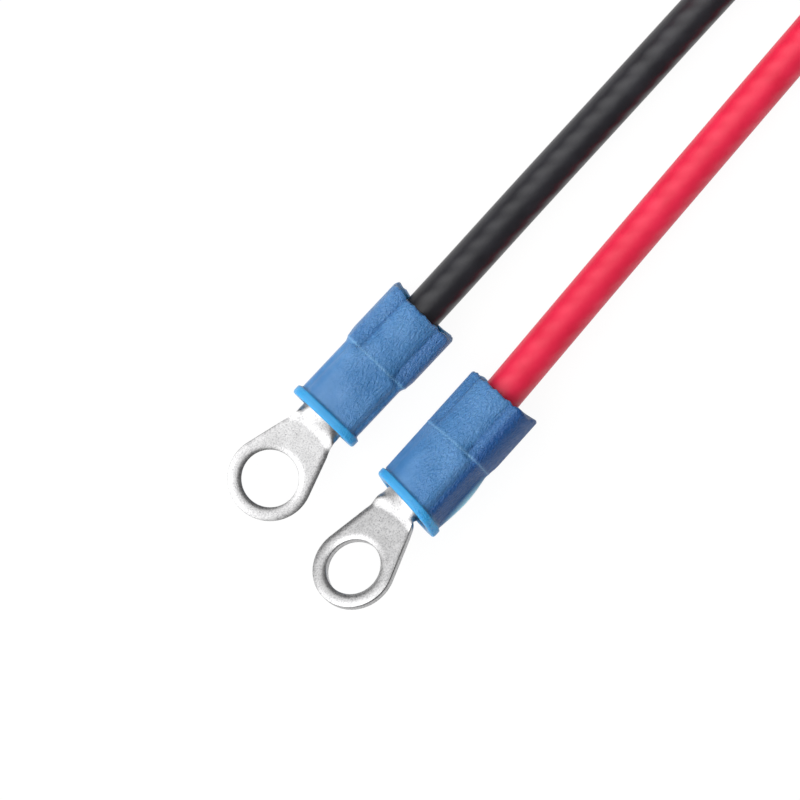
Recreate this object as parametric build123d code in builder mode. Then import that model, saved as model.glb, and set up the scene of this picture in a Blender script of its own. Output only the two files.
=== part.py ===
from build123d import *
import os
from math import cos, pi, radians, sin, sqrt, tan

os.makedirs("parts", exist_ok=True)

# A pair of solar leads, one black and one red. Each has a blue insulated M4 ring terminal on one end
# and a round locking connector on the other. Millimetres, +X along the leads from the rings, +Z up.
# The origin is on the resting surface, under the middle of the two ring terminals.

# ---- ring terminal (in its own frame: origin at the sleeve's front, +x towards the cable) ----
STUD_HOLE = 4.3
RING_OD = 6.35
SHEET = 0.8
TONGUE_TAPER = 16.5
TONGUE_TOP = 0.9
NECK_X = -1.5
RAMP_W = 2.4
BARREL_TOP_CUT = 0.06
BARREL_W = 3.9
BARREL_H = 3.2
BARREL_FRONT = -0.6
BARREL_BACK = 5.2
CRIMP_BORE_W = 2.5
CRIMP_BORE_H = 1.0
CRIMP_BORE_R = 0.3

# ---- insulating sleeve ----
FLANGE_W = 6.1
FLANGE_H = 5.0
FLANGE_T = 0.7
FRONT_W = 5.5
FRONT_H = 4.7
FRONT_R = 2.0
STEP_X = 5.9
REAR_W = 6.05
REAR_H = 4.6
REAR_R = 1.9
SLEEVE_L = 10.9
MOUTH_W = 4.6
FIT_GAP = 0.02

# ---- cable ----
CABLE_D = 3.0
CABLE_R = CABLE_D / 2
JACKET_X = 6.1
STRAND_D = 0.32
STRAND_PITCH = 0.33
STRAND_FRONT = -1.1

# ---- where each terminal lies: sleeve front, heading, roll about its axis, nose lift, tongue bend ----
BLACK_AT = (-0.68, 4.48, 2.5)
BLACK_YAW = -0.84
BLACK_ROLL = 0.0
BLACK_PITCH = 0.0
BLACK_BEND = 1.8
BLACK_RING_X = -5.87
RED_AT = (-1.23, -4.42, 3.34)
RED_YAW = 0.5
RED_ROLL = 27.0
RED_PITCH = 3.0
RED_BEND = 5.2
RED_RING_X = -6.05

# ---- coil: two turns of each lead, the black inside the red, rising as they turn ----
COIL_X = 61.0
COIL_Y = 16.0
RED_COIL_R = 18.0
BLACK_COIL_R = 14.9
COIL_RISE = 3.3
TURNS = 2
COIL_H = CABLE_D + TURNS * COIL_RISE
COIL_WALL = 1.48
TIE_NOTCH_W = 3.1
BLACK_EXTRA_TURN = 50.0
TIE_T = 1.0
TIE_W = 2.5
TIE_LOW = 1.6
TIE_HIGH = 8.0
TIE_HEAD = 3.2
TIE_HEAD_H = 4.2
TIE_HEAD_SINK = 0.15
TIE_HEAD_W = 4.1

# ---- connectors (in their own frame: origin at the cap nut's rear face, +x towards the mate) ----
NUT_R = 8.5
AXIS_Z = 8.5
CONN_X = 91.0
RED_CONN_Y = -0.7
BLACK_CONN_Y = 17.3
NUT_L = 18.0
NUT_NOSE_R = 4.6
NUT_TAPER = 5.0
NUT_HOLE_R = 1.85
NUT_WALL = 1.6
NUT_LIP = 0.6
RIBS = 12
RIB_CUT_R = 1.1
RIB_CUT_DEPTH = 0.4
THREAD_R = 6.5
THREAD_GAP = 0.08
MOVE_GAP = 0.3
SEAL_R = 3.7
SEAL_X = 4.0
SEAL_L = 9.0
SEAL_GROOVES = 3
SEAL_GROOVE_R = 0.45
CLAMP_X = 2.5
CLAMP_STEP = 8.5
CLAMP_END = 14.0
CLAMP_IN_R = SEAL_R + MOVE_GAP
CLAMP_REAR_R = 5.0
CLAMP_WIDE_R = 6.1
CLAMP_RING_R = 4.7
CLAMP_SLOTS = 8
CLAMP_SLOT_W = 1.0
HOUSING_X = 9.0
HOUSING_BORE_R = CLAMP_RING_R + MOVE_GAP
CHAMBER_X = 14.6
COLLAR_X = NUT_L + 0.4
COLLAR_T = 2.0
BODY_W = 15.0
BODY_CORNER = 4.6
BODY_END = 31.0
BODY_EDGE = 1.0
GRIPS = 5
GRIP_PITCH = 1.7
GRIP_W = 0.8
GRIP_L = 8.0
GRIP_DEPTH = 0.45
JACKET_END = 14.0
CONTACT_X = 15.0
CRIMP_L = 6.0
CONTACT_CRIMP_R = 1.7
CONTACT_BORE_R = 0.88
CONTACT_R = 2.9
PIN_R = 2.0
CHAMBER_R = CONTACT_R + FIT_GAP
PLUG_END = 50.0
NOSE_R = 5.4
SOCKET_DEPTH = 12.0
MOUTH_EDGE = 0.5
ARM_END = 43.0
ARM_IN = 6.3
ARM_OUT = 7.5
ARM_BARB = 8.3
ARM_TIP = 7.2
ARM_BARB_L = 4.0
ARM_T = 4.8
WINDOW_W = 5.4
WINDOW_L = 7.0
WINDOW_X = 40.5
SHELL_END = 48.0
SHELL_FLOOR = 2.0
SHELL_R = 8.3
SHELL_BORE_R = 6.2
PIN_END = 45.0
PIN_TIP = 0.6
ORING_X = 35.0
ORING_R = 0.9


def lead_plane(at, yaw, roll, pitch):
    """The terminal's frame: x along the barrel, z out of the tongue's smooth side."""
    ahead = Vector(cos(radians(pitch)) * cos(radians(yaw)), cos(radians(pitch)) * sin(radians(yaw)),
                   -sin(radians(pitch)))
    side = Vector(-sin(radians(yaw)), cos(radians(yaw)), 0)
    up = ahead.cross(side)
    return Plane(origin=at, x_dir=ahead, z_dir=up * cos(radians(roll)) + side * sin(radians(roll)))


def across(base, x):
    """A section plane at x along a frame's axis: its x is the frame's y, its y the frame's z."""
    return Plane(origin=base.from_local_coords(Vector(x, 0, 0)), x_dir=base.y_dir, z_dir=base.x_dir)


def level(base, z, turn=0.0):
    """A plane parallel to a frame's xy at height z, turned about the frame's own z."""
    ahead = base.x_dir * cos(radians(turn)) + base.y_dir * sin(radians(turn))
    return Plane(origin=base.from_local_coords(Vector(0, 0, z)), x_dir=ahead, z_dir=base.z_dir)


def side_on(base, x=0.0):
    """A plane through a frame's axis, for side profiles: its x runs along the axis, its y is up."""
    return Plane(origin=base.from_local_coords(Vector(x, 0, 0)), x_dir=base.x_dir, z_dir=-base.y_dir)


def save(piece, name):
    piece.part.label = name
    export_step(piece.part, f"parts/{name}.step")


# ---- the crimped end ----
def ring_terminal(base, bend, ring_x, name):
    """A ring with a tongue tangent to it, which ramps up into the oval crimped barrel."""
    ring_r = RING_OD / 2
    taper = radians(TONGUE_TAPER)
    tangent = (ring_x + ring_r * sin(taper), ring_r * cos(taper))
    neck_half = tangent[1] - (NECK_X - tangent[0]) * tan(taper)
    neck_end = BARREL_FRONT - 0.4
    crown = BARREL_H / 2 - BARREL_TOP_CUT
    with BuildPart() as terminal:
        with BuildSketch(level(base, TONGUE_TOP - SHEET, bend)):
            with Locations((ring_x, 0)):
                Circle(ring_r)
            with BuildLine():
                Polyline(tangent, (NECK_X, neck_half), (neck_end, neck_half), (neck_end, -neck_half),
                         (NECK_X, -neck_half), (tangent[0], -tangent[1]), close=True)
            make_face()
            with Locations((ring_x, 0)):
                Circle(STUD_HOLE / 2, mode=Mode.SUBTRACT)
        extrude(amount=SHEET)
        with BuildSketch(across(base, BARREL_FRONT)):
            Ellipse(BARREL_W / 2, BARREL_H / 2)
        extrude(amount=BARREL_BACK - BARREL_FRONT)
        with BuildSketch(side_on(base)):
            with BuildLine():
                Polyline((NECK_X, TONGUE_TOP - SHEET), (NECK_X, TONGUE_TOP), (BARREL_FRONT, crown),
                         (BARREL_FRONT + 0.4, crown), (BARREL_FRONT + 0.4, CRIMP_BORE_H / 2 + 0.1), close=True)
            make_face()
        extrude(amount=RAMP_W / 2, both=True)
        with BuildSketch(across(base, BARREL_FRONT - 0.6)):
            RectangleRounded(CRIMP_BORE_W, CRIMP_BORE_H, CRIMP_BORE_R)
        extrude(amount=BARREL_BACK - BARREL_FRONT + 1.2, mode=Mode.SUBTRACT)
    save(terminal, name)


def sleeve(base, name):
    with BuildPart() as cover:
        with BuildSketch(across(base, 0)):
            Ellipse(FLANGE_W / 2, FLANGE_H / 2)
        extrude(amount=FLANGE_T)
        with BuildSketch(across(base, FLANGE_T)):
            RectangleRounded(FRONT_W, FRONT_H, FRONT_R)
        extrude(amount=STEP_X - FLANGE_T)
        with BuildSketch(across(base, STEP_X)):
            RectangleRounded(REAR_W, REAR_H, REAR_R)
        extrude(amount=SLEEVE_L - STEP_X)
        with BuildSketch(across(base, 0)):
            Ellipse(BARREL_W / 2 + FIT_GAP, BARREL_H / 2 + FIT_GAP)
        extrude(amount=JACKET_X, mode=Mode.SUBTRACT)
        with BuildSketch(across(base, JACKET_X - FIT_GAP)):
            SlotOverall(MOUTH_W, CABLE_D + 2 * FIT_GAP)
        extrude(amount=SLEEVE_L - JACKET_X + FIT_GAP, mode=Mode.SUBTRACT)
    save(cover, name)


def crimped_strands(base, name):
    """Nineteen wires pressed flat in three rows of six, seven and six."""
    row_rise = STRAND_PITCH * sqrt(3) / 2
    with BuildPart() as wires:
        with BuildSketch(across(base, STRAND_FRONT)):
            for count, row in ((6, 1), (7, 0), (6, -1)):
                with Locations((0, row * row_rise)):
                    with GridLocations(STRAND_PITCH, 1, count, 1):
                        Circle(STRAND_D / 2)
        extrude(amount=JACKET_X - STRAND_FRONT)
    save(wires, name)


# ---- the routed cable ----
def tube_path(points):
    """Straight runs joined by arcs as large as the runs allow."""
    ends = [Vector(*p) for p in points]
    radii = []
    for before, here, after in zip(ends, ends[1:], ends[2:]):
        turn = (here - before).get_angle(after - here)
        shorter = min((here - before).length, (after - here).length)
        radii.append(0.45 * shorter / tan(radians(turn) / 2))
    return ends, radii


def tube(points, name):
    ends, radii = tube_path(points)
    with BuildPart() as run:
        with BuildLine():
            route = FilletPolyline(*ends, radius=radii)
        with BuildSketch(Plane(origin=route @ 0, z_dir=route % 0)):
            Circle(CABLE_R)
        sweep()
    length = route.length
    ratio = run.part.volume / (pi * CABLE_R**2 * length)
    print(f"{name}: length {length:.1f} volume ratio {ratio:.4f} radii {[round(r, 1) for r in radii]}")
    save(run, name)
    return length


def coil(mean_r, name):
    with BuildPart() as turns:
        with BuildSketch(Plane((COIL_X, COIL_Y, 0))):
            Circle(mean_r + COIL_WALL)
            Circle(mean_r - COIL_WALL, mode=Mode.SUBTRACT)
        extrude(amount=COIL_H)
        for low, high in ((0, TIE_LOW), (TIE_HIGH, COIL_H)):
            with BuildSketch(Plane((COIL_X, COIL_Y + mean_r, low))):
                Rectangle(TIE_NOTCH_W, 2 * COIL_WALL + 1)
            extrude(amount=high - low, mode=Mode.SUBTRACT)
    save(turns, name)


def coil_tie():
    inner_y = BLACK_COIL_R - COIL_WALL - 0.1
    outer_y = RED_COIL_R + COIL_WALL + 0.1
    opening = TIE_HIGH - TIE_LOW + 2 * FIT_GAP
    mid = ((inner_y + outer_y) / 2, (TIE_LOW + TIE_HIGH) / 2)
    with BuildPart() as tie:
        with BuildSketch(Plane(origin=(COIL_X - TIE_W / 2, COIL_Y, 0), x_dir=(0, 1, 0), z_dir=(1, 0, 0))):
            with Locations(mid):
                RectangleRounded(outer_y - inner_y + 2 * TIE_T, opening + 2 * TIE_T, TIE_T)
                Rectangle(outer_y - inner_y, opening, mode=Mode.SUBTRACT)
        extrude(amount=TIE_W)
        with BuildSketch(Plane(origin=(COIL_X - TIE_HEAD_W / 2, COIL_Y, 0), x_dir=(0, 1, 0), z_dir=(1, 0, 0))):
            with Locations((inner_y - TIE_HEAD / 2 - TIE_HEAD_SINK, mid[1])):
                RectangleRounded(TIE_HEAD, TIE_HEAD_H, 0.6)
        extrude(amount=TIE_HEAD_W)
    save(tie, "coil_tie")


# ---- the connector's cable end, the same on both ----
def cap_nut(base, name):
    """A ribbed nut that tapers inside to squeeze the clamp cage."""
    thread_r = THREAD_R + THREAD_GAP
    with BuildPart() as nut:
        with BuildSketch(side_on(base)):
            with BuildLine():
                Polyline((0, NUT_HOLE_R), (0, NUT_NOSE_R), (NUT_TAPER, NUT_R), (NUT_L - NUT_LIP, NUT_R),
                         (NUT_L, NUT_R - NUT_LIP), (NUT_L, thread_r), (CLAMP_STEP + 0.2, thread_r),
                         (CLAMP_X - 0.1, CLAMP_REAR_R + 0.45), (NUT_WALL, NUT_NOSE_R), (NUT_WALL, NUT_HOLE_R),
                         close=True)
            make_face()
        revolve(axis=Axis(base.origin, base.x_dir))
        with BuildSketch(across(base, NUT_TAPER + 1)):
            with PolarLocations(NUT_R + RIB_CUT_R - RIB_CUT_DEPTH, RIBS):
                Circle(RIB_CUT_R)
        extrude(amount=NUT_L - NUT_TAPER - 3, mode=Mode.SUBTRACT)
    save(nut, name)


def clamp_cage(base, name):
    """A slotted cone of fingers on a plain ring."""
    with BuildPart() as cage:
        with BuildSketch(side_on(base)):
            with BuildLine():
                Polyline((CLAMP_X, CLAMP_IN_R), (CLAMP_X, CLAMP_REAR_R), (CLAMP_STEP, CLAMP_WIDE_R),
                         (CLAMP_STEP, CLAMP_RING_R), (CLAMP_END, CLAMP_RING_R), (CLAMP_END, CLAMP_IN_R), close=True)
            make_face()
        revolve(axis=Axis(base.origin, base.x_dir))
        with BuildSketch(across(base, CLAMP_X)):
            with PolarLocations(CLAMP_REAR_R, CLAMP_SLOTS):
                Rectangle(4, CLAMP_SLOT_W)
        extrude(amount=CLAMP_STEP - CLAMP_X - 1, mode=Mode.SUBTRACT)
    save(cage, name)


def gland_seal(base, name):
    """A grooved rubber sleeve round the cable."""
    with BuildPart() as seal:
        with BuildSketch(across(base, SEAL_X)):
            Circle(SEAL_R)
            Circle(CABLE_R + FIT_GAP, mode=Mode.SUBTRACT)
        extrude(amount=SEAL_L)
        with BuildSketch(side_on(base)):
            for n in range(1, SEAL_GROOVES + 1):
                with Locations((SEAL_X + SEAL_L * n / (SEAL_GROOVES + 1), SEAL_R)):
                    Circle(SEAL_GROOVE_R)
        revolve(axis=Axis(base.origin, base.x_dir), mode=Mode.SUBTRACT)
    save(seal, name)


def contact_strands(base, name):
    """Nineteen wires round in the contact's crimp: one, six round it and twelve outside."""
    with BuildPart() as wires:
        with BuildSketch(across(base, JACKET_END)):
            Circle(STRAND_D / 2)
            with PolarLocations(STRAND_PITCH, 6):
                Circle(STRAND_D / 2)
            with PolarLocations(2 * STRAND_PITCH, 6):
                Circle(STRAND_D / 2)
            with PolarLocations(sqrt(3) * STRAND_PITCH, 6, start_angle=30):
                Circle(STRAND_D / 2)
        extrude(amount=CONTACT_X + CRIMP_L - 0.6 - JACKET_END)
    save(wires, name)


def housing_rear(base):
    """Threaded tail, collar and grip body, with grip grooves above and below."""
    forward = Axis(base.origin, base.x_dir)
    body_x = COLLAR_X + COLLAR_T
    with BuildPart() as rear:
        with BuildSketch(across(base, body_x)):
            RectangleRounded(BODY_W, BODY_W, BODY_CORNER)
        extrude(amount=BODY_END - body_x)
        fillet(rear.faces().sort_by(forward)[-1].edges(), BODY_EDGE)
        for side in (1, -1):
            with BuildSketch(level(base, side * BODY_W / 2)):
                with Locations(((body_x + BODY_END) / 2, 0)):
                    with GridLocations(GRIP_PITCH, 1, GRIPS, 1):
                        Rectangle(GRIP_W, GRIP_L)
            extrude(amount=-side * GRIP_DEPTH, mode=Mode.SUBTRACT)
        with BuildSketch(across(base, HOUSING_X)):
            Circle(THREAD_R)
        extrude(amount=COLLAR_X - HOUSING_X)
        with BuildSketch(across(base, COLLAR_X)):
            Circle(NUT_R)
        extrude(amount=COLLAR_T)
    return rear.part


def housing_hollow(base, end):
    """The room for the clamp cage, and the chamber for the contact."""
    with BuildPart() as hollow:
        with BuildSketch(across(base, HOUSING_X)):
            Circle(HOUSING_BORE_R)
        extrude(amount=CHAMBER_X - HOUSING_X)
        with BuildSketch(across(base, CHAMBER_X)):
            Circle(CHAMBER_R)
        extrude(amount=end - CHAMBER_X)
    return hollow.part


def plug_housing(base, name):
    """The housing with a round nose, an O-ring groove and two barbed latch arms."""
    with BuildPart() as housing:
        with BuildSketch(across(base, BODY_END)):
            Circle(NOSE_R)
        extrude(amount=PLUG_END - BODY_END)
        fillet(housing.faces().sort_by(Axis(base.origin, base.x_dir))[-1].edges(), MOUTH_EDGE)
        add(housing_rear(base))
        with BuildSketch(level(base, -ARM_T / 2)):
            for side in (1, -1):
                with BuildLine():
                    Polyline((BODY_END - 1, side * ARM_IN), (BODY_END - 1, side * ARM_OUT),
                             (ARM_END - ARM_BARB_L, side * ARM_OUT), (ARM_END - ARM_BARB_L, side * ARM_BARB),
                             (ARM_END, side * ARM_TIP), (ARM_END, side * ARM_IN), close=True)
                make_face()
        extrude(amount=ARM_T)
        add(housing_hollow(base, PLUG_END), mode=Mode.SUBTRACT)
        with BuildSketch(side_on(base)):
            with Locations((ORING_X, NOSE_R)):
                Rectangle(2 * ORING_R + 0.1, 2 * ORING_R)
        revolve(axis=Axis(base.origin, base.x_dir), mode=Mode.SUBTRACT)
    save(housing, name)


def socket_housing(base, name):
    """The housing with a round receptacle, which has a window on each side for a latch arm's barb."""
    with BuildPart() as housing:
        with BuildSketch(across(base, BODY_END - 1)):
            Circle(SHELL_R)
        extrude(amount=SHELL_END - BODY_END + 1)
        fillet(housing.faces().sort_by(Axis(base.origin, base.x_dir))[-1].edges(), MOUTH_EDGE)
        add(housing_rear(base))
        add(housing_hollow(base, BODY_END + SHELL_FLOOR), mode=Mode.SUBTRACT)
        with BuildSketch(across(base, BODY_END + SHELL_FLOOR)):
            Circle(SHELL_BORE_R)
        extrude(amount=SHELL_END - BODY_END - SHELL_FLOOR, mode=Mode.SUBTRACT)
        with BuildSketch(level(base, -WINDOW_W / 2)):
            for side in (1, -1):
                with Locations((WINDOW_X, side * (SHELL_R - 0.5))):
                    Rectangle(WINDOW_L, 5)
        extrude(amount=WINDOW_W, mode=Mode.SUBTRACT)
    save(housing, name)


def contact(base, end, name, socket):
    with BuildPart() as metal:
        with BuildSketch(across(base, CONTACT_X)):
            Circle(CONTACT_CRIMP_R)
            Circle(CONTACT_BORE_R, mode=Mode.SUBTRACT)
        extrude(amount=CRIMP_L)
        with BuildSketch(across(base, CONTACT_X + CRIMP_L)):
            Circle(CONTACT_R)
        extrude(amount=(end if socket else BODY_END) - CONTACT_X - CRIMP_L)
        if socket:
            with BuildSketch(across(base, end - SOCKET_DEPTH)):
                Circle(PIN_R)
            extrude(amount=SOCKET_DEPTH, mode=Mode.SUBTRACT)
        else:
            with BuildSketch(across(base, BODY_END)):
                Circle(PIN_R)
            extrude(amount=end - BODY_END)
            chamfer(metal.edges().sort_by(Axis(base.origin, base.x_dir))[-1], PIN_TIP)
    save(metal, name)


def nose_ring(base, name):
    with BuildPart() as ring:
        with BuildSketch(side_on(base)):
            with Locations((ORING_X, NOSE_R)):
                Circle(ORING_R - 0.02)
        revolve(axis=Axis(base.origin, base.x_dir))
    save(ring, name)


# ---- the two crimped ends ----
black = lead_plane(BLACK_AT, BLACK_YAW, BLACK_ROLL, BLACK_PITCH)
red = lead_plane(RED_AT, RED_YAW, RED_ROLL, RED_PITCH)
ring_terminal(black, BLACK_BEND, BLACK_RING_X, "black_ring_terminal")
ring_terminal(red, RED_BEND, RED_RING_X, "red_ring_terminal")
sleeve(black, "black_sleeve")
sleeve(red, "red_sleeve")
crimped_strands(black, "black_strands")
crimped_strands(red, "red_strands")

# ---- the connectors ----
black_plug = Plane(origin=(CONN_X, BLACK_CONN_Y, AXIS_Z), x_dir=(1, 0, 0), z_dir=(0, 0, 1))
red_socket = Plane(origin=(CONN_X, RED_CONN_Y, AXIS_Z), x_dir=(1, 0, 0), z_dir=(0, 0, 1))
plug_housing(black_plug, "black_housing")
socket_housing(red_socket, "red_housing")
contact(black_plug, PLUG_END - 0.5, "black_contact", socket=True)
contact(red_socket, PIN_END, "red_contact", socket=False)
nose_ring(black_plug, "black_nose_ring")
for colour, base in (("black", black_plug), ("red", red_socket)):
    cap_nut(base, f"{colour}_cap_nut")
    clamp_cage(base, f"{colour}_clamp_cage")
    gland_seal(base, f"{colour}_gland_seal")
    contact_strands(base, f"{colour}_contact_strands")

# ---- the cables ----
black_start = black.from_local_coords(Vector(JACKET_X, 0, 0))
red_start = red.from_local_coords(Vector(JACKET_X, 0, 0))
leave = radians(BLACK_EXTRA_TURN - 90)
black_leave = (COIL_X + BLACK_COIL_R * cos(leave), COIL_Y + BLACK_COIL_R * sin(leave),
               CABLE_R + COIL_RISE * (TURNS + BLACK_EXTRA_TURN / 360))
black_lead_route = [
    tuple(black_start),
    (12.0, 4.35, 2.5),
    (22.0, 4.42, 1.7),
    (32.0, 4.4, 1.5),
    (40.5, 4.43, 1.5),
    (48.5, 4.38, 1.5),
    (55.0, 1.85, 1.5),
    (COIL_X, COIL_Y - BLACK_COIL_R, CABLE_R),
]
red_lead_route = [
    tuple(red_start),
    (11.5, -4.11, 2.57),
    (21.0, -3.72, 1.8),
    (31.0, -3.38, 1.5),
    (40.5, -3.05, 1.5),
    (48.5, -2.8, 1.5),
    (55.0, -2.35, 1.5),
    (COIL_X, COIL_Y - RED_COIL_R, CABLE_R),
]
black_tail_route = [
    black_leave,
    (78.6, 13.2, 8.75),
    (CONN_X - 4.5, BLACK_CONN_Y, AXIS_Z),
    (CONN_X + JACKET_END, BLACK_CONN_Y, AXIS_Z),
]
red_tail_route = [
    (COIL_X, COIL_Y - RED_COIL_R, CABLE_R + TURNS * COIL_RISE),
    (69.5, -1.75, 8.3),
    (78.0, -1.1, 8.45),
    (CONN_X - 4.5, RED_CONN_Y, AXIS_Z),
    (CONN_X + JACKET_END, RED_CONN_Y, AXIS_Z),
]
black_length = tube(black_lead_route, "black_cable")
red_length = tube(red_lead_route, "red_cable")
black_tail = tube(black_tail_route, "black_tail")
red_tail = tube(red_tail_route, "red_tail")
coil(BLACK_COIL_R, "black_coil")
coil(RED_COIL_R, "red_coil")
coil_tie()

# ---- lengths ----
black_turns = (TURNS + BLACK_EXTRA_TURN / 360) * sqrt((2 * pi * BLACK_COIL_R)**2 + COIL_RISE**2)
red_turns = TURNS * sqrt((2 * pi * RED_COIL_R)**2 + COIL_RISE**2)
print(f"black lead {black_length + black_turns + black_tail:.1f} mm")
print(f"red lead {red_length + red_turns + red_tail:.1f} mm")
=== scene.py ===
import bmesh
import bpy
from math import atan2, cos, pi, radians, sin, sqrt, tan

from mathutils import Matrix, Vector


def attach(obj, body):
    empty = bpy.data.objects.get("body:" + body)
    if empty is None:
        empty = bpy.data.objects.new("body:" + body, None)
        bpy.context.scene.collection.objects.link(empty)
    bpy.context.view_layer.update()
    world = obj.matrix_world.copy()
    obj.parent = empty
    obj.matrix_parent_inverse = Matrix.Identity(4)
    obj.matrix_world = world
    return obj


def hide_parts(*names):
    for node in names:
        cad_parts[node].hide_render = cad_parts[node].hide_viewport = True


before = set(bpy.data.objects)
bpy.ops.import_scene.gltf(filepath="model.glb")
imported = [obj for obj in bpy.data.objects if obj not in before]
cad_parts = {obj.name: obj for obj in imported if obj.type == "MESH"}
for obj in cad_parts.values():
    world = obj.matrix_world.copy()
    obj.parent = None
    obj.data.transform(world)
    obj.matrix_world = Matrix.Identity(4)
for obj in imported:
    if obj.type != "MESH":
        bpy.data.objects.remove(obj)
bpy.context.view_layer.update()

MM = 0.001

# ---- the ring terminals and their sleeves, in millimetres, in the terminal's own frame ----
# The frame's origin is on the barrel's axis at the sleeve's front, +x runs towards the cable
# and +z out of the tongue's smooth side.
LEADS = {
    "black": dict(at=(-0.68, 4.48, 2.5), yaw=-0.84, roll=0.0, pitch=0.0, bend=1.8, ring_x=-5.87),
    "red": dict(at=(-1.23, -4.42, 3.34), yaw=0.5, roll=27.0, pitch=3.0, bend=5.2, ring_x=-6.05),
}
STUD_R = 2.15
RING_R = 3.175
TAPER = radians(16.5)
SHEET = 0.8
TONGUE_MID = 0.5
BARREL_R = 1.92
RAMP_X = -1.25
BARREL_SQUASH = 0.86
BARREL_BACK = 5.2
STRIP_X = -2.6
# where the sheet starts to curl, and the stretch where it widens from the tongue to the barrel
CURL_X = -1.7
WIDEN_X = (-2.0, -0.9)
# how far in each edge is rolled, and how deep
TOP_ROLL = (0.45, 0.09)
TOP_HOLE_ROLL = (0.4, 0.11)
BOTTOM_ROLL = (0.16, 0.08)
BOTTOM_HOLE_ROLL = (0.12, 0.05)
SLEEVE_L = 10.9
FLANGE_T = 0.7
STEP_X = 5.75
WING_Y = 1.66
CREASE_DEPTH = 0.07
# the thin, translucent stretch low on the red sleeve's right side
THIN_FROM = 0.7
THIN_L = 5.2
THIN_BULGE = 0.3
# the flanges' lean fades out by here
LEAN_END = 3.2

# ---- the cables ----
CABLE_R = 1.5
COIL_X = 61.0
COIL_Y = 16.0
COIL_RISE = 3.3
TURNS = 2
COIL_STEPS = 24
CONN_X = 91.0
JACKET_END = 14.0
AXIS_Z = 8.5
CORDS = {
    "black": dict(
        coil_r=14.9,
        extra=50.0,
        length=0.2927,
        lead=[
            (5.419, 4.391, 2.5), (12.0, 4.35, 2.5), (22.0, 4.42, 1.7), (32.0, 4.4, 1.5),
            (40.5, 4.43, 1.5), (48.5, 4.38, 1.5), (55.0, 1.85, 1.5),
        ],
        tail=[
            (78.6, 13.2, 8.75), (CONN_X - 4.5, 17.3, AXIS_Z), (CONN_X + 4.4, 17.3, AXIS_Z),
            (CONN_X + JACKET_END, 17.3, AXIS_Z),
        ],
    ),
    "red": dict(
        coil_r=18.0,
        extra=0.0,
        length=0.3266,
        lead=[
            (4.861, -4.367, 3.02), (11.5, -4.11, 2.57), (21.0, -3.72, 1.8), (31.0, -3.38, 1.5),
            (40.5, -3.05, 1.5), (48.5, -2.8, 1.5), (55.0, -2.35, 1.5),
        ],
        tail=[
            (69.5, -1.75, 8.3), (78.0, -1.1, 8.45), (CONN_X - 4.5, -0.7, AXIS_Z),
            (CONN_X + 4.4, -0.7, AXIS_Z), (CONN_X + JACKET_END, -0.7, AXIS_Z),
        ],
    ),
}

# ---- the camera ----
VIEW_ROLL = 47.5
VIEW_AT = (4.3, 1.2, 2.5)
VIEW_WIDTH = 59.7
VIEW_DISTANCE = 600.0

# the wires inside show through the jackets as a twist: radians per metre along x, y and z
STRAND_LAY = (3600.0, 4200.0, 2000.0)

# ---- the floor, in metres, and the light ----
FLOOR_SIZE = 12
FLOOR_GAP = 0.00002
LIGHT_FROM = (-0.5, 0.37, 0.783)
# the light fades out where a direction's cosine with LIGHT_FROM falls to this
LIGHT_EDGE = 0.5
LIGHT = 3.3
ROOM_LIGHT = 0.2
# heights of the direction between which the pale horizon fades
HORIZON = (0.03, 0.07)


def add_camera():
    """Straight above the ring terminals and far away, turned so that the cables run up to the right."""
    data = bpy.data.cameras.new("camera")
    data.sensor_width = 36
    data.lens = data.sensor_width * VIEW_DISTANCE / VIEW_WIDTH
    data.clip_start = 0.01
    camera = bpy.data.objects.new("camera", data)
    camera.location = Vector((VIEW_AT[0], VIEW_AT[1], VIEW_AT[2] + VIEW_DISTANCE)) * MM
    camera.rotation_euler = (0, 0, radians(-VIEW_ROLL))
    bpy.context.collection.objects.link(camera)
    bpy.context.scene.camera = camera


def smooth(a, b, x):
    """0 at a and before it, 1 at b and past it, and a smooth step between them."""
    t = min(max((x - a) / (b - a), 0.0), 1.0)
    return t * t * (3 - 2 * t)


def terminal_matrix(lead):
    """From the terminal's frame in millimetres to the row frame in metres."""
    yaw, roll, pitch = (radians(lead[k]) for k in ("yaw", "roll", "pitch"))
    ahead = Vector((cos(pitch) * cos(yaw), cos(pitch) * sin(yaw), -sin(pitch)))
    side = Vector((-sin(yaw), cos(yaw), 0))
    up = ahead.cross(side) * cos(roll) + side * sin(roll)
    left = up.cross(ahead)
    turn = Matrix((ahead, left, up)).transposed().to_4x4()
    return Matrix.Translation(Vector(lead["at"]) * MM) @ turn @ Matrix.Scale(MM, 4)


def mesh_object(name, verts, faces, matrix):
    """A smooth-shaded closed mesh from points that the matrix brings into the row frame."""
    mesh = bpy.data.meshes.new(name)
    mesh.from_pydata([tuple(matrix @ v) for v in verts], [], faces)
    mesh.polygons.foreach_set("use_smooth", [True] * len(mesh.polygons))
    work = bmesh.new()
    work.from_mesh(mesh)
    bmesh.ops.recalc_face_normals(work, faces=work.faces)
    work.to_mesh(mesh)
    work.free()
    piece = bpy.data.objects.new(name, mesh)
    bpy.context.collection.objects.link(piece)
    return piece


# ---- materials ----
def new_material(name):
    """A material with its nodes, links and shader."""
    material = bpy.data.materials.new(name)
    material.use_nodes = True
    nodes, links = material.node_tree.nodes, material.node_tree.links
    return material, nodes, links, nodes["Principled BSDF"]


def add_node(nodes, kind, **values):
    """A node with the values given to its properties or, by name, to its inputs."""
    node = nodes.new(kind)
    for key, value in values.items():
        if hasattr(node, key):
            setattr(node, key, value)
        else:
            node.inputs[key.replace("_", " ")].default_value = value
    return node


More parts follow.
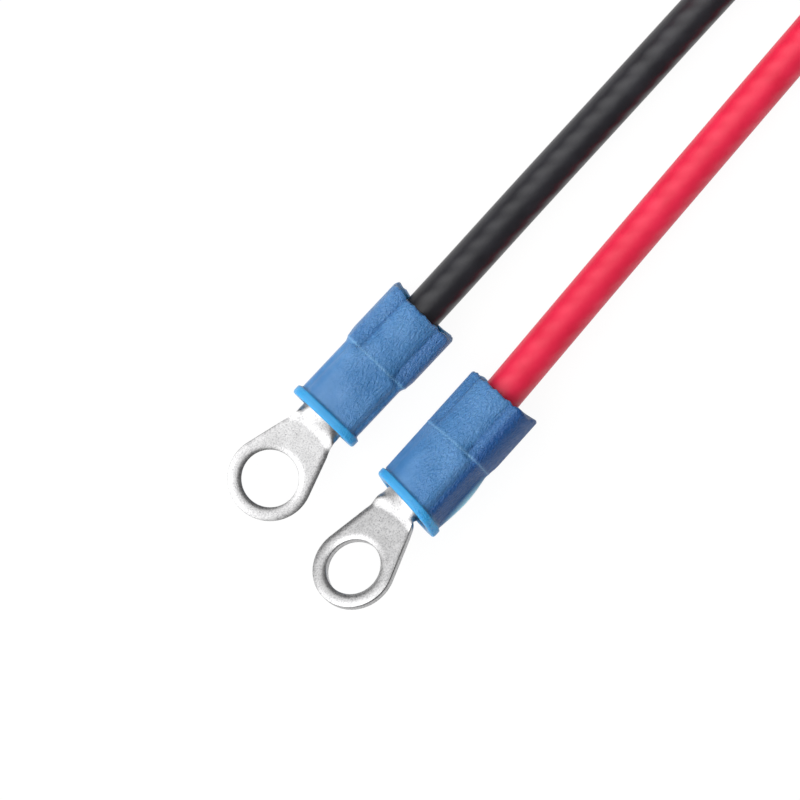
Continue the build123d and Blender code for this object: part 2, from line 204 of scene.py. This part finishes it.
def noise(nodes, links, scale, detail=4.0, roughness=0.55, vector=None):
    """Noise over the object's own metres, or over another vector."""
    node = add_node(nodes, "ShaderNodeTexNoise", Scale=scale, Detail=detail, Roughness=roughness)
    if vector is None:
        coords = nodes.new("ShaderNodeTexCoord")
        vector = coords.outputs["Object"]
    links.new(vector, node.inputs["Vector"])
    return node


def ramp(nodes, links, source, stops):
    """A colour ramp of (position, colour) stops."""
    node = nodes.new("ShaderNodeValToRGB")
    band = node.color_ramp
    while len(band.elements) < len(stops):
        band.elements.new(0.5)
    for element, (position, colour) in zip(band.elements, stops):
        element.position = position
        element.color = (*colour, 1)
    links.new(source, node.inputs["Fac"])
    return node


def bump(nodes, links, height, distance, strength=1.0, below=None):
    """Height in metres on the surface, over another bump if there is one below."""
    node = add_node(nodes, "ShaderNodeBump", Distance=distance, Strength=strength)
    links.new(height, node.inputs["Height"])
    if below is not None:
        links.new(below.outputs["Normal"], node.inputs["Normal"])
    return node


def range_to(nodes, links, source, low, high):
    """A 0 to 1 value stretched to low to high."""
    node = nodes.new("ShaderNodeMapRange")
    node.inputs["To Min"].default_value = low
    node.inputs["To Max"].default_value = high
    links.new(source, node.inputs["Value"])
    return node.outputs["Result"]


def metal(name, dark, light, rough, grain=9000.0, depth=0.00001):
    """Plated sheet: cloudy tone, fine speckle and an orange-peel surface."""
    material, nodes, links, shader = new_material(name)
    cloud = noise(nodes, links, 700.0, 6.0, 0.65)
    tone = ramp(nodes, links, cloud.outputs["Fac"], [(0.3, dark), (0.62, light)])
    shader.inputs["Metallic"].default_value = 1.0
    speck = noise(nodes, links, grain, 3.0, 0.6)
    stops = [(0.36, (0.56, 0.56, 0.57)), (0.54, (1.0, 1.0, 1.0))]
    spots = ramp(nodes, links, speck.outputs["Fac"], stops)
    shade = nodes.new("ShaderNodeMix")
    shade.data_type = "RGBA"
    shade.blend_type = "MULTIPLY"
    shade.inputs["Factor"].default_value = 0.8
    links.new(tone.outputs["Color"], shade.inputs[6])
    links.new(spots.outputs["Color"], shade.inputs[7])
    links.new(shade.outputs[2], shader.inputs["Base Color"])
    sheen = range_to(nodes, links, speck.outputs["Fac"], rough * 0.7, rough * 1.4)
    links.new(sheen, shader.inputs["Roughness"])
    peel = bump(nodes, links, speck.outputs["Fac"], depth, 0.9)
    wave = noise(nodes, links, 900.0, 2.0)
    dents = bump(nodes, links, wave.outputs["Fac"], depth * 2, 0.8, peel)
    links.new(dents.outputs["Normal"], shader.inputs["Normal"])
    return material


def jacket(name, dark, light, rough):
    """Extruded cable jacket: the laid strands show as a faint twist, with a fine matt skin."""
    material, nodes, links, shader = new_material(name)
    cloud = noise(nodes, links, 350.0, 5.0, 0.6)
    tone = ramp(nodes, links, cloud.outputs["Fac"], [(0.35, dark), (0.7, light)])
    links.new(tone.outputs["Color"], shader.inputs["Base Color"])
    skin = noise(nodes, links, 14000.0, 2.0)
    matt = range_to(nodes, links, skin.outputs["Fac"], rough * 0.85, rough * 1.15)
    links.new(matt, shader.inputs["Roughness"])
    shader.inputs["Specular IOR Level"].default_value = 0.42
    fine = bump(nodes, links, skin.outputs["Fac"], 0.000006, 0.6)
    lumps = noise(nodes, links, 420.0, 3.0)
    soft = bump(nodes, links, lumps.outputs["Fac"], 0.00005, 0.6, fine)
    coords = nodes.new("ShaderNodeTexCoord")
    lay = nodes.new("ShaderNodeVectorMath")
    lay.operation = "DOT_PRODUCT"
    lay.inputs[1].default_value = STRAND_LAY
    links.new(coords.outputs["Object"], lay.inputs[0])
    ripple = nodes.new("ShaderNodeMath")
    ripple.operation = "SINE"
    links.new(lay.outputs["Value"], ripple.inputs[0])
    strands = bump(nodes, links, ripple.outputs[0], 0.000016, 0.7, soft)
    links.new(strands.outputs["Normal"], shader.inputs["Normal"])
    return material


def moulded(name, dark, light, rough, grain=5200.0):
    """Moulded plastic or rubber with a spark-eroded grain and slightly rubbed tone."""
    material, nodes, links, shader = new_material(name)
    cloud = noise(nodes, links, 160.0, 6.0, 0.6)
    tone = ramp(nodes, links, cloud.outputs["Fac"], [(0.35, dark), (0.68, light)])
    links.new(tone.outputs["Color"], shader.inputs["Base Color"])
    skin = noise(nodes, links, grain, 3.0)
    matt = range_to(nodes, links, skin.outputs["Fac"], rough * 0.8, rough * 1.2)
    links.new(matt, shader.inputs["Roughness"])
    fine = bump(nodes, links, skin.outputs["Fac"], 0.00002, 0.6)
    links.new(fine.outputs["Normal"], shader.inputs["Normal"])
    return material


def tint(nodes, links, factor, below, colour):
    """Mixes a colour over what is below."""
    mix = nodes.new("ShaderNodeMix")
    mix.data_type = "RGBA"
    mix.inputs[7].default_value = (*colour, 1)
    links.new(factor, mix.inputs["Factor"])
    links.new(below, mix.inputs[6])
    return mix.outputs[2]


def blue_pvc():
    """Translucent soft PVC with painted light where it is thin and painted shade, and with the wavy print
    of the crimping die.

    The mesh's "zone" attribute says how much of each look there is: red for a lip, painted paler with light
    shining through it, green for painted shade on a wing, blue for the depth of the print and alpha for
    painted shade on a shaded side and in a crease. A second attribute holds painted light in the thinnest
    places, where light shines through, and a faint painted highlight along the step, and "place" is the
    point's position on the sleeve in millimetres.
    """
    material, nodes, links, shader = new_material("blue pvc")
    zone = add_node(nodes, "ShaderNodeAttribute", attribute_name="zone")
    parts = nodes.new("ShaderNodeSeparateColor")
    links.new(zone.outputs["Color"], parts.inputs["Color"])
    cloud = noise(nodes, links, 420.0, 6.0, 0.6)
    stops = [(0.32, (0.044, 0.165, 0.375)), (0.7, (0.100, 0.25, 0.49))]
    tone = ramp(nodes, links, cloud.outputs["Fac"], stops)
    # the lip's paler tint is painted light, shining through the thin flange
    lip = tint(nodes, links, parts.outputs["Red"], tone.outputs["Color"], (0.038, 0.30, 0.60))
    # the wing's darker tint is painted shade
    wing = tint(nodes, links, parts.outputs["Green"], lip, (0.052, 0.155, 0.36))
    # painted shade on a shaded side and in the creases
    deep = tint(nodes, links, zone.outputs["Alpha"], wing, (0.008, 0.07, 0.235))
    painted_light = add_node(nodes, "ShaderNodeAttribute", attribute_name="painted_light")
    # painted light where the PVC is thinnest and light shines through, and a painted highlight along the
    # step's edge
    pale = tint(nodes, links, painted_light.outputs["Fac"], deep, (0.42, 0.76, 0.90))
    links.new(pale, shader.inputs["Base Color"])
    shader.inputs["Subsurface Weight"].default_value = 0.3
    shader.inputs["Subsurface Radius"].default_value = (0.25, 0.6, 1.0)
    shader.inputs["Subsurface Scale"].default_value = 0.0008
    shader.inputs["Specular IOR Level"].default_value = 0.3
    place = add_node(nodes, "ShaderNodeAttribute", attribute_name="place")
    stretch = nodes.new("ShaderNodeMapping")
    stretch.inputs["Scale"].default_value = (1.0, 2.1, 2.1)
    stretch.inputs["Rotation"].default_value = (0, 0, 0.35)
    links.new(place.outputs["Vector"], stretch.inputs["Vector"])
    knit = noise(nodes, links, 3.2, 1.5, 0.5, stretch.outputs["Vector"])
    knit.inputs["Distortion"].default_value = 0.6
    print_depth = nodes.new("ShaderNodeMath")
    print_depth.operation = "MULTIPLY"
    links.new(knit.outputs["Fac"], print_depth.inputs[0])
    links.new(parts.outputs["Blue"], print_depth.inputs[1])
    worm = bump(nodes, links, print_depth.outputs[0], 0.00017, 0.9)
    skin = noise(nodes, links, 2600.0, 4.0)
    fine = bump(nodes, links, skin.outputs["Fac"], 0.00002, 0.6, worm)
    links.new(fine.outputs["Normal"], shader.inputs["Normal"])
    matt = range_to(nodes, links, skin.outputs["Fac"], 0.30, 0.46)
    links.new(matt, shader.inputs["Roughness"])
    return material


def give(piece, material):
    """The material becomes the piece's only one."""
    piece.data.materials.clear()
    piece.data.materials.append(material)


# ---- ring terminal: a sheet curled from a flat blank ----
def wrap_angle(x):
    """How far round the sheet's edges are curled: flat tongue, open neck, nearly closed barrel."""
    return max(0.5 * pi * smooth(CURL_X, 0.2, x) + 0.49 * pi * smooth(0.2, 1.6, x), 1e-4)


def neck_width(x, ring_x):
    """Half the width seen from above: the ring, a tongue tangent to it, and the barrel."""
    d = x - ring_x
    tangent = RING_R * sin(TAPER)
    if d < tangent:
        return sqrt(max(RING_R**2 - d**2, 0.0))
    tongue = RING_R * cos(TAPER) - (d - tangent) * tan(TAPER)
    return tongue + (BARREL_R - tongue) * smooth(*WIDEN_X, x)


def curl_radius(x, ring_x):
    """The radius that gives the curled sheet the width it has from above."""
    angle = wrap_angle(x)
    return neck_width(x, ring_x) / sin(min(angle, pi / 2)) - SHEET / 2 * smooth(CURL_X, 0.0, x)


def blank_half_width(x, ring_x):
    """Half the flat blank's width at x."""
    if x < CURL_X:
        return neck_width(x, ring_x)
    return wrap_angle(x) * curl_radius(x, ring_x)


def curl(x, s, ring_x):
    """Where the blank's point (x, s) goes when the sheet is curled, and the outward normal there."""
    # the ramp up to the barrel starts further forward at the tongue's edges than in its middle
    here = x + 0.1 * min(abs(s), 2.0) ** 2
    squash = 0.04 + (BARREL_SQUASH - 0.04) * smooth(-1.35, 0.3, x)
    rise = smooth(RAMP_X, RAMP_X + 1.9, here)
    crown = TONGUE_MID + ((BARREL_R - SHEET / 2) * BARREL_SQUASH - TONGUE_MID) * rise
    if x < CURL_X:
        return Vector((x, s, crown)), Vector((0, 0, 1))
    r = curl_radius(x, ring_x)
    a = s / r
    place = Vector((x, r * sin(a), crown - r * (1 - cos(a)) * squash))
    normal = Vector((0, sin(a) * squash, cos(a))).normalized()
    return place, normal


def edge_drop(d, width, depth):
    """How far a rolled edge falls away at distance d from the edge."""
    t = min(max(d / width, 0.0), 1.0)
    return depth * (1 - t) ** 2


def across_steps(count):
    """Positions from -1 to 1, closer together at both ends."""
    return [sin(pi / 2 * (2 * i / count - 1)) for i in range(count + 1)]


def ring_terminal(colour, lead, material):
    """Rings of points round the stud hole, then rows of points along the neck and barrel."""
    ring_x = lead["ring_x"]
    centre = Vector((ring_x, 0))
    columns = across_steps(44)
    first_x = ring_x - RING_R
    # from the strip's edge round the ring's tip, on the +y side
    upper = []
    steps = 30
    for i in range(1, steps + 1):
        px = STRIP_X + (ring_x + RING_R * sin(TAPER) - STRIP_X) * i / steps
        upper.append(Vector((px, blank_half_width(px, ring_x))))
    start = upper[-1] - centre
    a0 = atan2(start.y, start.x)
    arc = 70
    for i in range(1, arc + 1):
        a = a0 + (pi - a0) * i / arc
        upper.append(centre + Vector((cos(a), sin(a))) * RING_R)
    lower = [Vector((p.x, -p.y)) for p in reversed(upper[:-1])]
    strip_w = blank_half_width(STRIP_X, ring_x)
    closing = [Vector((STRIP_X, t * strip_w)) for t in columns]
    loop = closing + upper + lower
    # distance to the blank's edge
    edge = [Vector((first_x, 0))]
    for i in range(1, 260):
        px = first_x + (BARREL_BACK - first_x) * (i / 260) ** 1.5
        edge.append(Vector((px, blank_half_width(px, ring_x))))

    def to_edge(p):
        q = Vector((p.x, abs(p.y)))
        best = 1e9
        for a, b in zip(edge, edge[1:]):
            along = b - a
            t = min(max((q - a).dot(along) / max(along.length_squared, 1e-12), 0), 1)
            best = min(best, (q - a - along * t).length)
        return best

    verts, faces = [], []
    index = {}

    def put(key, p, on_edge):
        """Both faces of the sheet at the blank's point p."""
        place, normal = curl(p.x, p.y, ring_x)
        out = 0.0 if on_edge == "outer" else to_edge(p)
        hole = max((p - centre).length - STUD_R, 0.0)
        top = SHEET / 2 - edge_drop(out, *TOP_ROLL) - edge_drop(hole, *TOP_HOLE_ROLL)
        bottom = SHEET / 2 - edge_drop(out, *BOTTOM_ROLL) - edge_drop(hole, *BOTTOM_HOLE_ROLL)
        bend = Matrix.Rotation(radians(lead["bend"]) * (1 - smooth(-1.6, 0.2, p.x)), 3, "Z")
        index[key] = len(verts)
        verts.append(bend @ (place + normal * top))
        verts.append(bend @ (place - normal * bottom))

    levels = [0, 0.03, 0.07, 0.13, 0.21, 0.31, 0.43, 0.57, 0.69, 0.79, 0.87, 0.93, 0.97, 1.0]
    count = len(loop)
    for k, level in enumerate(levels):
        for i, outer in enumerate(loop):
            inner = centre + (outer - centre).normalized() * STUD_R
            on_edge = "outer" if level == 1.0 and i >= len(closing) else ""
            put(("ring", k, i), inner + (outer - inner) * level, on_edge)
    rows = []
    x = STRIP_X
    while x < BARREL_BACK - 1e-6:
        x += 0.09 if x < 0.3 else 0.49
        rows.append(min(x, BARREL_BACK))
    last = len(columns) - 1
    for r, x in enumerate(rows):
        w = blank_half_width(x, ring_x)
        for c, t in enumerate(columns):
            put(("strip", r, c), Vector((x, t * w)), "outer" if c in (0, last) or x == rows[-1] else "")

    def quad(a, b, c, d):
        """A face on each side of the sheet."""
        a, b, c, d = (index[key] for key in (a, b, c, d))
        faces.append((a, b, c, d))
        faces.append((d + 1, c + 1, b + 1, a + 1))

    def wall(a, b):
        a, b = index[a], index[b]
        faces.append((a, b, b + 1, a + 1))

    top = len(levels) - 1
    for k in range(top):
        for i in range(count):
            j = (i + 1) % count
            quad(("ring", k, i), ("ring", k, j), ("ring", k + 1, j), ("ring", k + 1, i))
    for i in range(count):
        j = (i + 1) % count
        wall(("ring", 0, j), ("ring", 0, i))
        if i >= last:
            wall(("ring", top, i), ("ring", top, j))
    for c in range(last):
        quad(("ring", top, c), ("ring", top, c + 1), ("strip", 0, c + 1), ("strip", 0, c))
    for r in range(len(rows) - 1):
        for c in range(last):
            quad(("strip", r, c), ("strip", r, c + 1), ("strip", r + 1, c + 1), ("strip", r + 1, c))
    for c in range(last):
        wall(("strip", len(rows) - 1, c + 1), ("strip", len(rows) - 1, c))
    for c in (0, last):
        wall(("ring", top, c), ("strip", 0, c))
        for r in range(len(rows) - 1):
            wall(("strip", r, c), ("strip", r + 1, c))
    piece = mesh_object(f"{colour}_ring", verts, faces, terminal_matrix(lead))
    give(piece, material)
    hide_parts(f"{colour}_ring_terminal")
    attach(piece, "root")
    return piece


# ---- insulating sleeve: half sections from the top round to the bottom, mirrored ----
FLANGE = [
    (0, 2.5), (1.2, 2.42), (2.2, 2.05), (2.8, 1.45), (3.02, 0.75), (3.05, 0),
    (3.02, -0.75), (2.8, -1.45), (2.2, -2.05), (1.2, -2.42), (0, -2.5),
]
FRONT = [
    (0, 2.3), (1.2, 2.22), (1.9, 2.04), (2.22, 1.72), (2.4, 1.38), (2.66, 1.12),
    (2.75, 0.5), (2.74, -0.6), (2.5, -1.6), (1.4, -2.24), (0, -2.35),
]
REAR_MID = [
    (0, 2.3), (0.85, 2.22), (1.5, 1.98), (1.9, 1.78), (2.35, 1.62), (2.75, 1.3),
    (2.93, 0.55), (2.92, -0.6), (2.65, -1.5), (1.45, -2.15), (0, -2.34),
]
REAR = [
    (0, 2.3), (0.8, 2.18), (1.34, 1.92), (1.66, 1.66), (2.2, 1.6), (2.74, 1.32),
    (3.0, 0.55), (3.02, -0.6), (2.75, -1.5), (1.5, -2.1), (0, -2.3),
]
INSIDE_FRONT = [
    (0, 1.82), (0.9, 1.72), (1.6, 1.35), (2.0, 0.85), (2.2, 0.4), (2.25, 0),
    (2.2, -0.4), (2.0, -0.85), (1.6, -1.35), (0.9, -1.72), (0, -1.82),
]
INSIDE_REAR = [
    (0, 1.53), (0.7, 1.36), (1.2, 0.96), (1.6, 0.6), (2.05, 0.3), (2.3, 0),
    (2.05, -0.3), (1.6, -0.6), (1.2, -0.96), (0.7, -1.36), (0, -1.53),
]
PER_HALF = 60
# how much of a lip's painted light, shining through the thin PVC, the sleeve's inside gets
INSIDE_PAINTED_LIGHT = 0.45
# How far each wing reaches at the rear rim, how the flange leans sideways and over, and how much the sleeve
# has of the red one's look: an even left side, painted shade on its right side and a thin stretch there
# with painted light shining through it.
SLEEVES = {
    "black": dict(left_wing=0.30, right_wing=0.02, skew=0.0, tip=0.03, thin_side=0.0),
    "red": dict(left_wing=0.12, right_wing=0.10, skew=0.1, tip=0.075, thin_side=1.0),
}


def spline(points, t):
    """A Catmull-Rom curve through the points, t from 0 to 1."""
    spans = len(points) - 1
    u = min(max(t * spans, 0.0), spans - 1e-9)
    i = int(u)
    f = u - i
    p1, p2 = Vector(points[i]), Vector(points[i + 1])
    p0 = Vector(points[i - 1]) if i > 0 else Vector((-p2.x, p2.y))
    p3 = Vector(points[i + 2]) if i + 2 <= spans else Vector((-p1.x, p1.y))
    return 0.5 * (2 * p1 + (p2 - p0) * f + (2 * p0 - 5 * p1 + 4 * p2 - p3) * f * f
                  + (3 * p1 - p0 - 3 * p2 + p3) * f * f * f)


def blend_sections(a, b, amount):
    """The section that is amount of the way from a to b."""
    return [(ya + (yb - ya) * amount, za + (zb - za) * amount) for (ya, za), (yb, zb) in zip(a, b)]


def outer_section(x, even=0.0):
    """Half the outside section at x, where even = 1 does without the step at the wings."""
    lip = 1 - smooth(FLANGE_T - 0.08, FLANGE_T + 0.14, x)
    step = smooth(STEP_X - 0.35, STEP_X + 0.3, x)
    deep = smooth(STEP_X + 0.1, STEP_X + 1.0, x)
    rear = blend_sections(REAR_MID, REAR, deep)
    section = blend_sections(FRONT, rear, even * 0.7 + (1 - even) * step)
    return blend_sections(section, FLANGE, lip)


def outside_stations():
    """Where along the sleeve the outside has its rings of points: closer together at every edge."""
    stations = [0.0, 0.06, 0.16, 0.35, 0.52, 0.62, 0.66, 0.7, 0.75, 0.82, 0.95]
    x = 1.15
    while x < STEP_X - 0.35:
        stations.append(x)
        x += 0.3
    stations += [STEP_X + d for d in (-0.3, -0.16, -0.08, 0.0, 0.06, 0.12, 0.25)]
    x = STEP_X + 0.45
    while x < SLEEVE_L - 0.55:
        stations.append(x)
        x += 0.28
    return stations + [SLEEVE_L - d for d in (0.5, 0.3, 0.16, 0.06, 0.0)]


def inside_stations():
    """The same for the inside, from the rear rim to the front."""
    rear = [SLEEVE_L - d for d in (0.0, 0.05, 0.2, 0.6)]
    return rear + [9.5, 8.3, 7.2, 6.3, 5.6, 4.5, 3.0, 1.5, 0.5, 0.1, 0.0]


def section_point(right, left, i):
    """Point i of a ring of 2 * PER_HALF: down the right half section from the top, then up the left one."""
    t = i / PER_HALF if i <= PER_HALF else (2 * PER_HALF - i) / PER_HALF
    p = spline(right if i <= PER_HALF else left, t)
    return p.x * (-1 if i <= PER_HALF else 1), p.y


def crease_at(x, y, z):
    """1 in the crease between the sleeve's middle and a wing, and 0 away from it."""
    beside = 1 - smooth(0.0, 0.13, abs(abs(y) - WING_Y))
    return beside * smooth(STEP_X, STEP_X + 0.2, x) * smooth(0.5, 1.0, z)


def thin_swell(x):
    """0 at both ends of the thin stretch and 1 in its middle."""
    return sin(pi * min(max(x - THIN_FROM, 0) / THIN_L, 1))


def looks(x, y, z, thin_side):
    """The "zone" attribute of a point of the outside, with its painted light and painted shade, and the
    painted light of the second attribute.
    """
    # the lip: the flange painted paler, with painted light shining through it
    lip = 1 - smooth(FLANGE_T - 0.05, FLANGE_T + 0.1, x)
    # painted shade on the wings: all of it on the right wing and a third of it on the left one
    wing = smooth(1.62, 1.74, abs(y)) * smooth(STEP_X + 0.1, STEP_X + 0.2, x) * smooth(-0.5, 0.6, z)
    wing *= 0.3 if y > 0 else 1.0
    print_depth = smooth(0.5, 4.2, x - y)
    # painted light where light shines through the thin stretch
    thin = thin_side * smooth(-1.9, -2.6, y) * smooth(-0.7, -1.4, z) * thin_swell(x)
    # painted shade on the red sleeve's right side
    shaded = thin_side * smooth(-2.1, -2.6, y) * smooth(0.7, 1.0, x) * (1 - thin)
    # a faint painted highlight along the step's edge
    step_highlight = 1 - smooth(0.03, 0.09, abs(x - STEP_X - 0.06))
    # alpha also holds painted shade in the creases beside the wings
    return (lip, wing, print_depth, max(shaded, 0.5 * crease_at(x, y, z))), max(thin, 0.16 * step_highlight)


def sleeve(colour, lead, material, left_wing, right_wing, skew, tip, thin_side):
    """One closed shell: along the outside, over the rear rim, back along the inside."""

    def along(x, y, z):
        """Where x goes: the rear rim is ragged and reaches further at the wings, and the flange leans."""
        wing = smooth(1.3, 2.7, abs(y)) * (left_wing if y > 0 else right_wing)
        under = 0.28 * (1 - smooth(-1.2, 0.3, z))
        rag = 0.05 * sin(5.3 * y + 1.7 * z) + 0.035 * sin(11.0 * y - 4.0 * z + 1.0)
        reach = (wing + under + rag - 0.1) * smooth(SLEEVE_L - 2.2, SLEEVE_L, x)
        return x + reach + (skew * y + tip * z) * (1 - smooth(0.0, LEAN_END, x))

    total = 2 * PER_HALF
    outside, inside = outside_stations(), inside_stations()
    verts, zones, places, painted_lights = [], [], [], []
    for x in outside:
        right = outer_section(x)
        left = outer_section(x, thin_side)
        rounding = edge_drop(SLEEVE_L - x, 0.16, 0.12) + edge_drop(x, 0.16, 0.1)
        ridge = 0.025 * (1 - smooth(0.0, 0.09, abs(x - STEP_X - 0.1)))
        shrink = 1 - (rounding - ridge) / 2.6
        for i in range(total):
            y, z = section_point(right, left, i)
            bulge = THIN_BULGE * thin_side * smooth(-0.6, -1.3, z) * smooth(-1.6, -2.4, y) * thin_swell(x)
            sunk = CREASE_DEPTH * crease_at(x, y, z)
            verts.append(Vector((along(x, y, z), y * shrink - bulge, z * shrink - sunk)))
            zone, painted_light = looks(x, y, z, thin_side)
            zones.append(zone)
            painted_lights.append(painted_light)
            places.append((x, y, z))
    for x in inside:
        section = blend_sections(INSIDE_FRONT, INSIDE_REAR, smooth(5.4, 6.1, x))
        flare = 1 + 0.05 * (1 - smooth(0.0, 0.25, x)) + 0.03 * smooth(SLEEVE_L - 0.2, SLEEVE_L, x)
        for i in range(total):
            y, z = section_point(section, section, i)
            verts.append(Vector((along(x, y, z), y * flare, z * flare)))
            # the inside is painted paler with part of the lip's painted light
            zones.append((INSIDE_PAINTED_LIGHT, 0, 0, 0))
            painted_lights.append(0.0)
            places.append((x, y, z))
    loops = len(outside) + len(inside)
    faces = []
    for k in range(loops):
        after = (k + 1) % loops
        for i in range(total):
            j = (i + 1) % total
            faces.append((k * total + i, k * total + j, after * total + j, after * total + i))
    piece = mesh_object(f"{colour}_insulator", verts, faces, terminal_matrix(lead))
    attributes = (
        ("zone", "FLOAT_COLOR", "color", zones),
        ("place", "FLOAT_VECTOR", "vector", places),
        ("painted_light", "FLOAT", "value", painted_lights),
    )
    for name, kind, key, values in attributes:
        layer = piece.data.attributes.new(name, kind, "POINT")
        for item, value in zip(layer.data, values):
            setattr(item, key, value)
    give(piece, material)
    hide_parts(f"{colour}_sleeve")
    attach(piece, "root")
    return piece


# ---- cables ----
def coil_points(cord):
    """Two rising turns, and on round to where the tail leaves."""
    total = 360 * TURNS + cord["extra"]
    steps = round(total / 360 * COIL_STEPS)
    swell = cord["coil_r"] / cos(pi / COIL_STEPS)
    points = []
    for i in range(steps + 1):
        turned = total * i / steps
        a = radians(turned - 90)
        z = CABLE_R + COIL_RISE * turned / 360
        points.append((COIL_X + swell * cos(a), COIL_Y + swell * sin(a), z))
    return points


def cable(colour, cord, material):
    """A whole lead as one spline: straight from its sleeve, round the coil and on into its connector."""
    points = cord["lead"] + coil_points(cord) + cord["tail"]
    data = bpy.data.curves.new(f"{colour}_lead", "CURVE")
    data.dimensions = "3D"
    data.bevel_depth = CABLE_R * MM
    data.bevel_resolution = 9
    data.resolution_u = 14
    data.use_fill_caps = True
    line = data.splines.new("NURBS")
    line.points.add(len(points) - 1)
    for place, point in zip(line.points, points):
        place.co = (point[0] * MM, point[1] * MM, point[2] * MM, 1)
    line.order_u = 3
    line.use_endpoint_u = True
    piece = bpy.data.objects.new(f"{colour}_lead", data)
    bpy.context.collection.objects.link(piece)
    give(piece, material)
    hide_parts(f"{colour}_cable", f"{colour}_coil", f"{colour}_tail")
    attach(piece, "root")
    kinds = ("housing", "contact", "contact_strands", "gland_seal", "clamp_cage", "cap_nut")
    on_it = [f"{colour}_{kind}" for kind in kinds]
    on_it += ["coil_tie", "black_nose_ring"] if colour == "black" else []
    return piece


# ---- floor and light ----
def add_floor():
    """A white floor that mostly glows, so that it stays white beside the object."""
    bpy.ops.mesh.primitive_plane_add(size=FLOOR_SIZE, location=(0, 0, -FLOOR_GAP))
    floor = bpy.context.object
    floor.name = "floor"
    material, nodes, links, shader = new_material("floor")
    shader.inputs["Base Color"].default_value = (0.07, 0.07, 0.07, 1)
    shader.inputs["Roughness"].default_value = 1.0
    shader.inputs["Specular IOR Level"].default_value = 0.0
    shader.inputs["Emission Color"].default_value = (1, 1, 1, 1)
    shader.inputs["Emission Strength"].default_value = 0.94
    give(floor, material)


def add_world():
    """A broad soft light, high on the ring terminals' side, in a dimmer room with a pale horizon."""
    world = bpy.data.worlds.new("studio")
    bpy.context.scene.world = world
    world.use_nodes = True
    nodes, links = world.node_tree.nodes, world.node_tree.links
    coords = nodes.new("ShaderNodeTexCoord")
    towards = nodes.new("ShaderNodeVectorMath")
    towards.operation = "DOT_PRODUCT"
    towards.inputs[1].default_value = LIGHT_FROM
    links.new(coords.outputs["Generated"], towards.inputs[0])
    level = nodes.new("ShaderNodeMapRange")
    level.interpolation_type = "SMOOTHSTEP"
    spans = (("From Min", LIGHT_EDGE), ("From Max", 1.0), ("To Min", ROOM_LIGHT), ("To Max", LIGHT))
    for key, value in spans:
        level.inputs[key].default_value = value
    links.new(towards.outputs["Value"], level.inputs["Value"])
    heights = nodes.new("ShaderNodeSeparateXYZ")
    links.new(coords.outputs["Generated"], heights.inputs["Vector"])
    horizon = nodes.new("ShaderNodeMapRange")
    spans = (("From Min", HORIZON[0]), ("From Max", HORIZON[1]), ("To Min", 1.0), ("To Max", 0.0))
    for key, value in spans:
        horizon.inputs[key].default_value = value
    links.new(heights.outputs["Z"], horizon.inputs["Value"])
    both = nodes.new("ShaderNodeMath")
    both.operation = "MAXIMUM"
    links.new(level.outputs["Result"], both.inputs[0])
    links.new(horizon.outputs["Result"], both.inputs[1])
    links.new(both.outputs[0], nodes["Background"].inputs["Strength"])
    nodes["Background"].inputs["Color"].default_value = (1, 1, 1, 1)


add_camera()
jackets = {
    "black": jacket("black jacket", (0.009, 0.0088, 0.012), (0.018, 0.0175, 0.0225), 0.34),
    "red": jacket("red jacket", (0.66, 0.009, 0.045), (0.76, 0.016, 0.064), 0.42),
}
for colour, cord in CORDS.items():
    cable(colour, cord, jackets[colour])
tin = metal("tinned copper", (0.42, 0.418, 0.42), (0.48, 0.478, 0.48), 0.3, 8500.0, 0.000009)
pvc = blue_pvc()
for colour, lead in LEADS.items():
    ring_terminal(colour, lead, tin)
for colour, lead in LEADS.items():
    sleeve(colour, lead, pvc, **SLEEVES[colour])

copper = metal("bare copper", (0.55, 0.27, 0.15), (0.78, 0.42, 0.26), 0.25)
contact_tin = metal("tinned brass", (0.66, 0.64, 0.60), (0.82, 0.80, 0.77), 0.2)
shell = moulded("black moulding", (0.012, 0.012, 0.013), (0.028, 0.028, 0.030), 0.42)
nylon = moulded("grey nylon", (0.16, 0.16, 0.165), (0.26, 0.26, 0.27), 0.4)
rubber = moulded("seal rubber", (0.02, 0.02, 0.02), (0.045, 0.045, 0.045), 0.6)
tie_nylon = moulded("tie nylon", (0.02, 0.02, 0.021), (0.04, 0.04, 0.042), 0.38)
CAD_FINISH = {
    "strands": copper, "contact_strands": copper, "contact": contact_tin,
    "housing": shell, "cap_nut": shell, "clamp_cage": nylon,
    "gland_seal": rubber, "nose_ring": rubber, "tie": tie_nylon,
}
for name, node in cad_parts.items():
    finish = CAD_FINISH.get(name.split("_", 1)[1])
    if finish is not None:
        give(node, finish)

add_floor()
add_world()
bpy.context.scene.view_settings.view_transform = "Standard"
